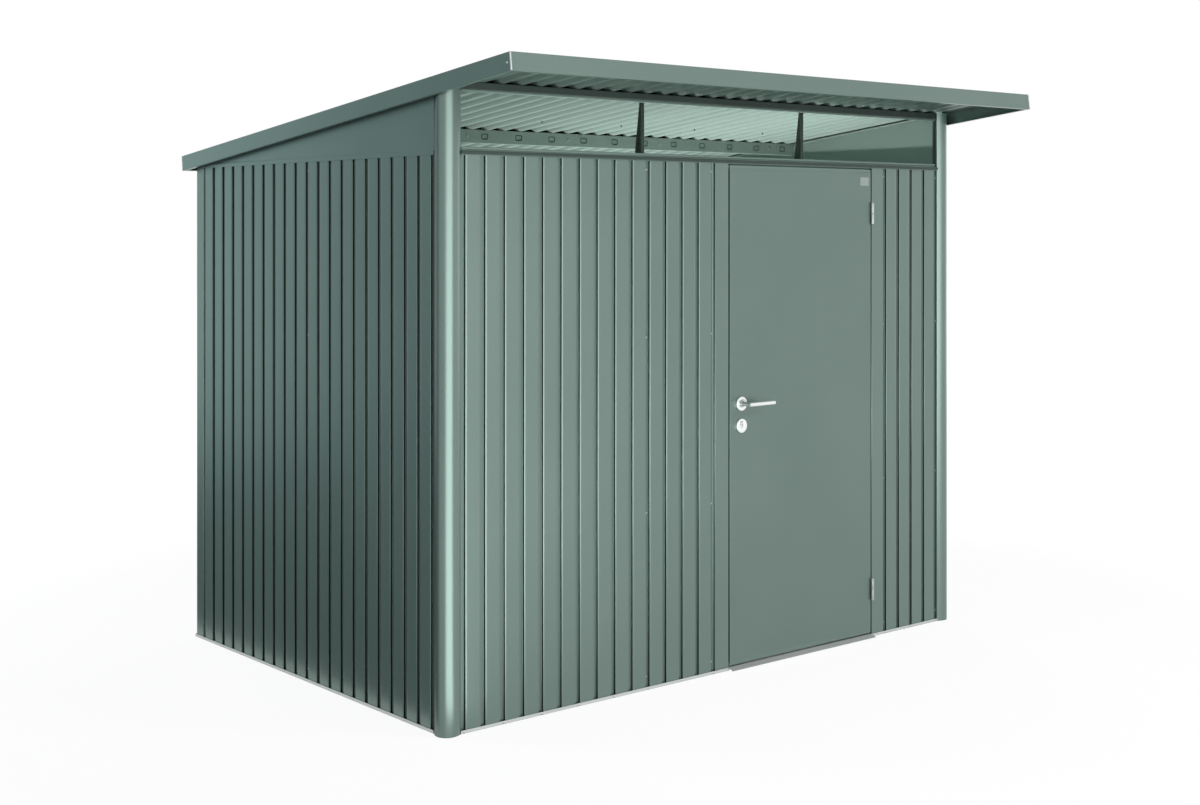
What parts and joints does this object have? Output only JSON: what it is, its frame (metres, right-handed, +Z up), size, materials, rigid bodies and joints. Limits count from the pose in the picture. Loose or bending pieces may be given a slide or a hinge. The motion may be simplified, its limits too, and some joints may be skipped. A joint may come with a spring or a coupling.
{
  "type": "metal tool shed",
  "caption": "Grey-green steel garden shed with ribbed walls, a lean-to corrugated roof with a deep front overhang, a window band under it and a hinged door with a lever handle.",
  "frame": {"origin": "on the ground under the middle of the roof's outline", "axes": "+X to the right along the front, +Y to the back, +Z up; the door faces -Y"},
  "size_m": [2.607, 2.2028, 2.1733],
  "materials": {
    "grey_green_steel": "grey-green satin stove enamel on galvanised sheet",
    "slate_grey_steel": "dark grey-green satin stove enamel",
    "base_rail_grey": "pale mill-finish aluminium",
    "bare_aluminium": "mill-finish aluminium",
    "galvanised_steel": "galvanised steel",
    "satin_steel": "satin stainless steel",
    "clear_acrylic": "clear acrylic sheet"
  },
  "bodies": {
    "shed": {"base_rail_front": "base_rail_grey", "base_rail_left": "base_rail_grey", "base_rail_right": "base_rail_grey", "base_rail_back": "base_rail_grey", "door_threshold": "bare_aluminium", "front_post_left": "grey_green_steel", "front_post_right": "grey_green_steel", "back_corner_left": "grey_green_steel", "back_corner_right": "grey_green_steel", "front_panel_wide": "grey_green_steel", "front_panel_narrow": "grey_green_steel", "front_panel_right": "grey_green_steel", "door_jambs": "grey_green_steel", "left_panel_front": "grey_green_steel", "left_panel_back": "grey_green_steel", "right_panel_front": "grey_green_steel", "right_panel_back": "grey_green_steel", "back_panel_left": "grey_green_steel", "back_panel_middle": "grey_green_steel", "back_panel_right": "grey_green_steel", "window_sill_rail": "grey_green_steel", "top_rail_left": "grey_green_steel", "top_rail_right": "grey_green_steel", "roof_beam_front": "slate_grey_steel", "roof_beam_back": "grey_green_steel", "roof_purlin": "grey_green_steel", "gable_left": "grey_green_steel", "gable_right": "grey_green_steel", "window_panes": "clear_acrylic", "window_mullions": "slate_grey_steel", "roof_sheet_left": "grey_green_steel", "roof_sheet_middle": "grey_green_steel", "roof_sheet_right": "grey_green_steel", "fascia_front": "grey_green_steel", "fascia_left": "grey_green_steel", "fascia_right": "grey_green_steel", "fascia_back": "grey_green_steel", "hinge_frame_halves": "galvanised_steel"},
    "door": {"door_leaf": "grey_green_steel", "door_end_caps": "grey_green_steel", "hinge_door_halves": "galvanised_steel", "door_roses": "satin_steel", "lock_case": "galvanised_steel"},
    "lever": {"lever_outside": "satin_steel", "lever_inside": "satin_steel"}
  },
  "joints": [
    {"name": "door_swing", "type": "hinge", "parent": "shed", "child": "door", "pos_m": [0.7975, -0.7124, 0.9435], "axis": [0, 0, 1], "range_deg": [0, 110]},
    {"name": "lever_turn", "type": "hinge", "parent": "door", "child": "lever", "pos_m": [0.062, -0.7054, 0.9835], "axis": [0, 1, 0], "range_deg": [0, 40], "stiffness_Nm_per_rad": 1.2, "springref_deg": -20.05}
  ]
}
